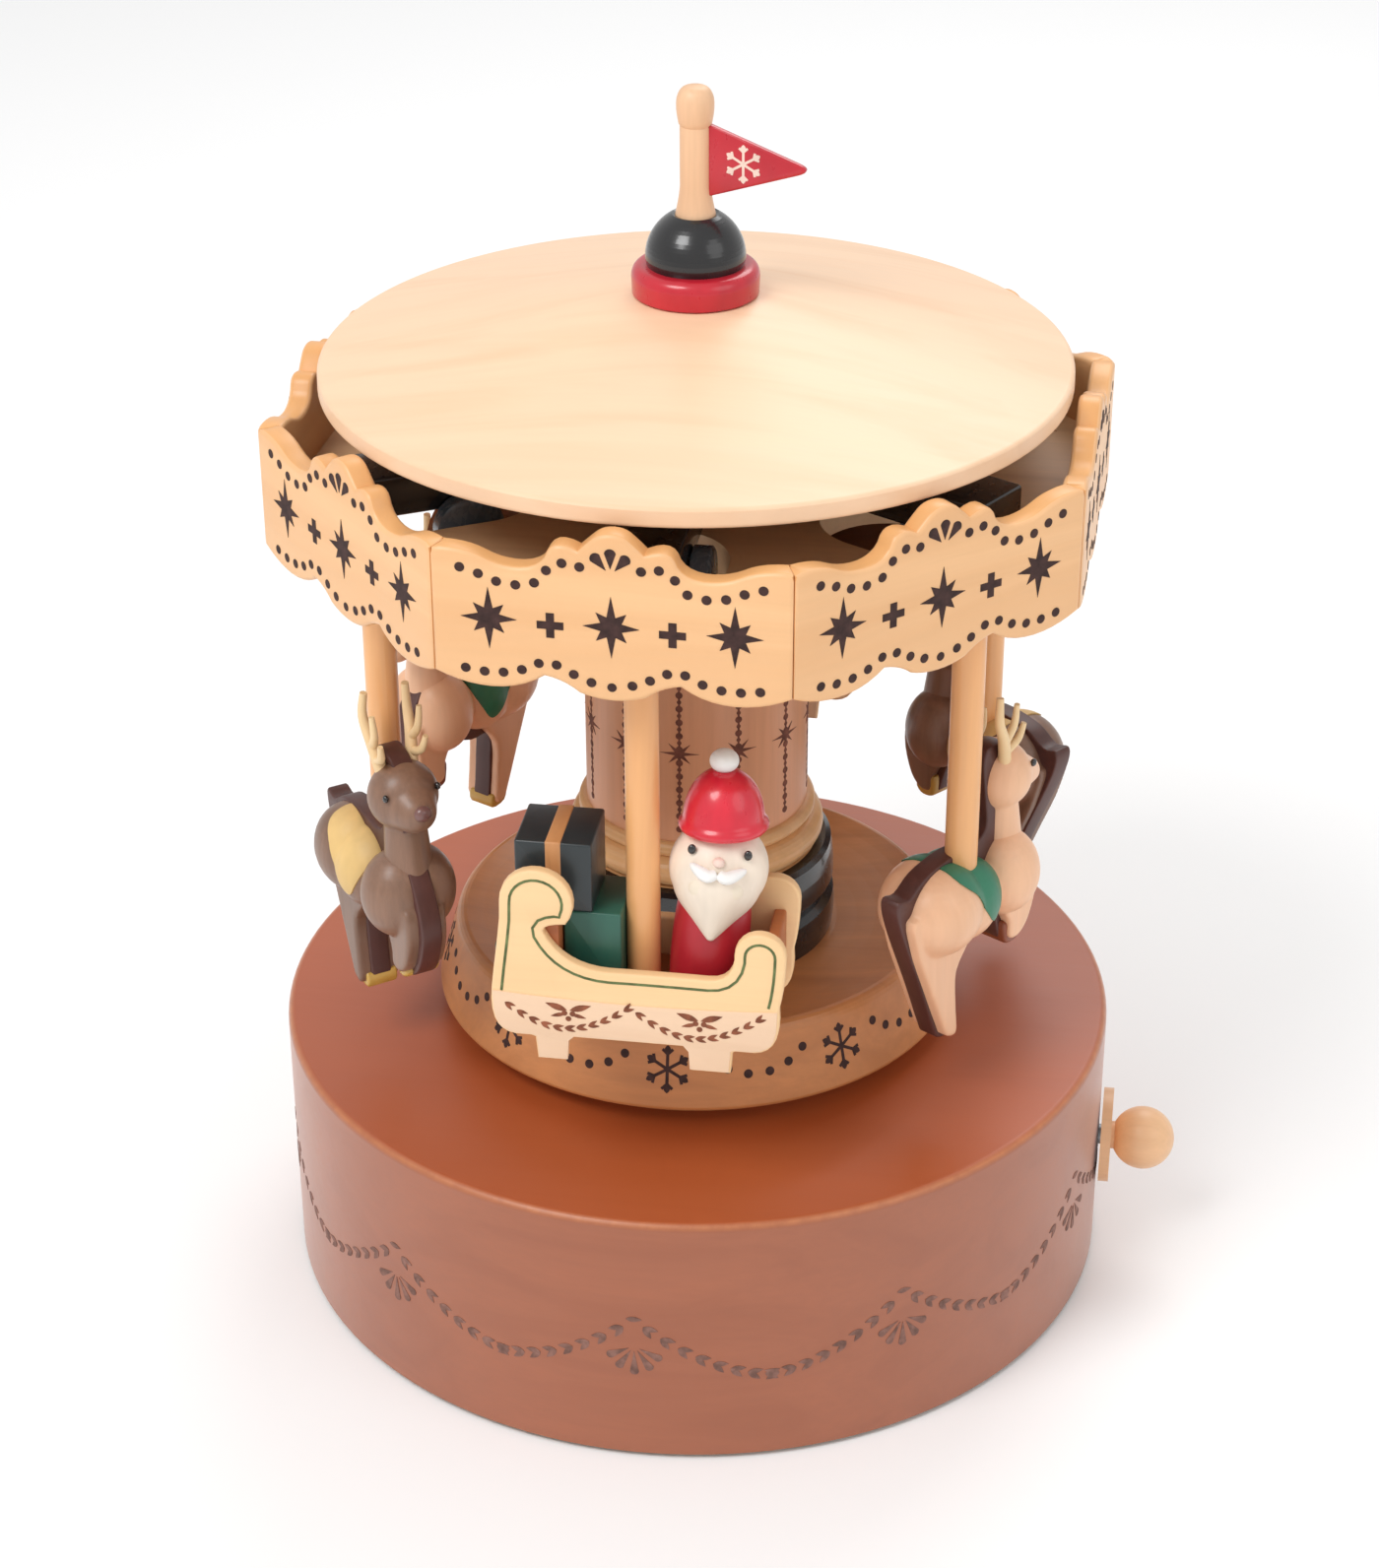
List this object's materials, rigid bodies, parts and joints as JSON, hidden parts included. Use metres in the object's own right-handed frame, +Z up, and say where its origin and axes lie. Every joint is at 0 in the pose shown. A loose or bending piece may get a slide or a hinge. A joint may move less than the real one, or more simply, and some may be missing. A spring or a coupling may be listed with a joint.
{
  "type": "carousel music box",
  "caption": "Wooden carousel music box: round drum with winding knob, column, and an octagonal canopy turning with bobbing sleighs and reindeer on poles.",
  "frame": {"origin": "middle of the underside of the felt pad under the drum", "axes": "+Z up along the column; -Y towards the front sleigh; +X towards the winding knob"},
  "size_m": [0.142, 0.13, 0.1888],
  "materials": {
    "cherry_wood": "satin",
    "pale_wood": "satin",
    "pink_wood": "satin",
    "cream_wood": "satin",
    "tan_wood": "satin",
    "brown_wood": "satin",
    "walnut": "satin",
    "dark_figure_wood": "satin",
    "light_figure_wood": "satin",
    "black_wood": "gloss",
    "red_lacquer": "gloss",
    "red_body": "satin",
    "figure_white": "satin",
    "green_lacquer": "satin",
    "black_gift": "satin",
    "gift_red": "satin",
    "felt": "matte",
    "brass": "polished",
    "steel": "brushed"
  },
  "bodies": {
    "base": {"drum": "cherry_wood", "base_cover": "tan_wood", "felt_pad": "felt", "cover_screws": "steel", "plinth": "pale_wood", "pedestal_ring": "black_wood", "column_collar": "pale_wood", "column": "pink_wood", "cam_ring": "brown_wood", "shaft_bush": "brass", "movement_bedplate": "brass", "comb": "steel", "movement_screws": "steel", "governor_housing": "brass"},
    "barrel": {"spring_barrel": "brass"},
    "cylinder": {"pin_cylinder": "brass"},
    "governor": {"governor_fan": "steel"},
    "winder": {"wind_disc": "pale_wood", "wind_ball": "pale_wood", "wind_shaft": "steel"},
    "carousel": {"drive_shaft": "steel", "drive_gear": "brass", "canopy_hub": "brown_wood", "ceiling_board": "pale_wood", "canopy_roof": "cream_wood", "fascia_boards": "tan_wood", "finial_ring": "red_lacquer", "finial_dome": "black_wood", "flag_staff": "tan_wood", "flag": "red_lacquer"},
    "carriage_1": {"arm_1": "black_wood", "pole_1": "tan_wood", "sleigh_1_sides": "cream_wood", "sleigh_1_bed": "brown_wood", "gift_black": "black_gift", "gift_green": "green_lacquer", "figure_body": "red_body", "figure_head": "figure_white", "figure_hat": "red_lacquer"},
    "carriage_2": {"arm_2": "black_wood", "pole_2": "tan_wood", "reindeer_1_plate": "walnut", "reindeer_1_body": "light_figure_wood"},
    "carriage_3": {"arm_3": "black_wood", "pole_3": "tan_wood", "reindeer_2_plate": "walnut", "reindeer_2_body": "dark_figure_wood"},
    "carriage_4": {"arm_4": "black_wood", "pole_4": "tan_wood", "sleigh_2_sides": "cream_wood", "sleigh_2_bed": "brown_wood", "rear_gifts": "gift_red"},
    "carriage_5": {"arm_5": "black_wood", "pole_5": "tan_wood", "reindeer_3_plate": "walnut", "reindeer_3_body": "light_figure_wood"},
    "carriage_6": {"arm_6": "black_wood", "pole_6": "tan_wood", "reindeer_4_plate": "walnut", "reindeer_4_body": "dark_figure_wood"}
  },
  "joints": [
    {"name": "carousel_spin", "type": "hinge", "parent": "base", "child": "carousel", "pos_m": [0, 0, 0.1], "axis": [0, 0, 1], "continuous": true},
    {"name": "wind_knob", "type": "hinge", "parent": "base", "child": "winder", "pos_m": [0.06, 0, 0.02], "axis": [1, 0, 0], "continuous": true},
    {"name": "barrel_spin", "type": "hinge", "parent": "base", "child": "barrel", "pos_m": [0.0192, 0, 0.01], "axis": [0, 0, 1], "continuous": true},
    {"name": "cylinder_spin", "type": "hinge", "parent": "base", "child": "cylinder", "pos_m": [-0.0144, 0, 0.01], "axis": [0, 0, 1], "continuous": true},
    {"name": "governor_spin", "type": "hinge", "parent": "base", "child": "governor", "pos_m": [-0.022, -0.024, 0.01], "axis": [0, 0, 1], "continuous": true},
    {"name": "bob_1", "type": "slide", "parent": "carousel", "child": "carriage_1", "axis": [0, 0, 1], "range_m": [-0.0004, 0.0056]},
    {"name": "bob_2", "type": "slide", "parent": "carousel", "child": "carriage_2", "axis": [0, 0, 1], "range_m": [-0.0024, 0.0036]},
    {"name": "bob_3", "type": "slide", "parent": "carousel", "child": "carriage_3", "axis": [0, 0, 1], "range_m": [-0.003, 0.003]},
    {"name": "bob_4", "type": "slide", "parent": "carousel", "child": "carriage_4", "axis": [0, 0, 1], "range_m": [-0.0056, 0.0004]},
    {"name": "bob_5", "type": "slide", "parent": "carousel", "child": "carriage_5", "axis": [0, 0, 1], "range_m": [-0.0048, 0.0012]},
    {"name": "bob_6", "type": "slide", "parent": "carousel", "child": "carriage_6", "axis": [0, 0, 1], "range_m": [-0.0004, 0.0056]}
  ],
  "couplings": [
    {"joint": "barrel_spin", "follows": "carousel_spin", "ratio": -1},
    {"joint": "cylinder_spin", "follows": "carousel_spin", "ratio": -2},
    {"joint": "governor_spin", "follows": "carousel_spin", "ratio": 24}
  ]
}
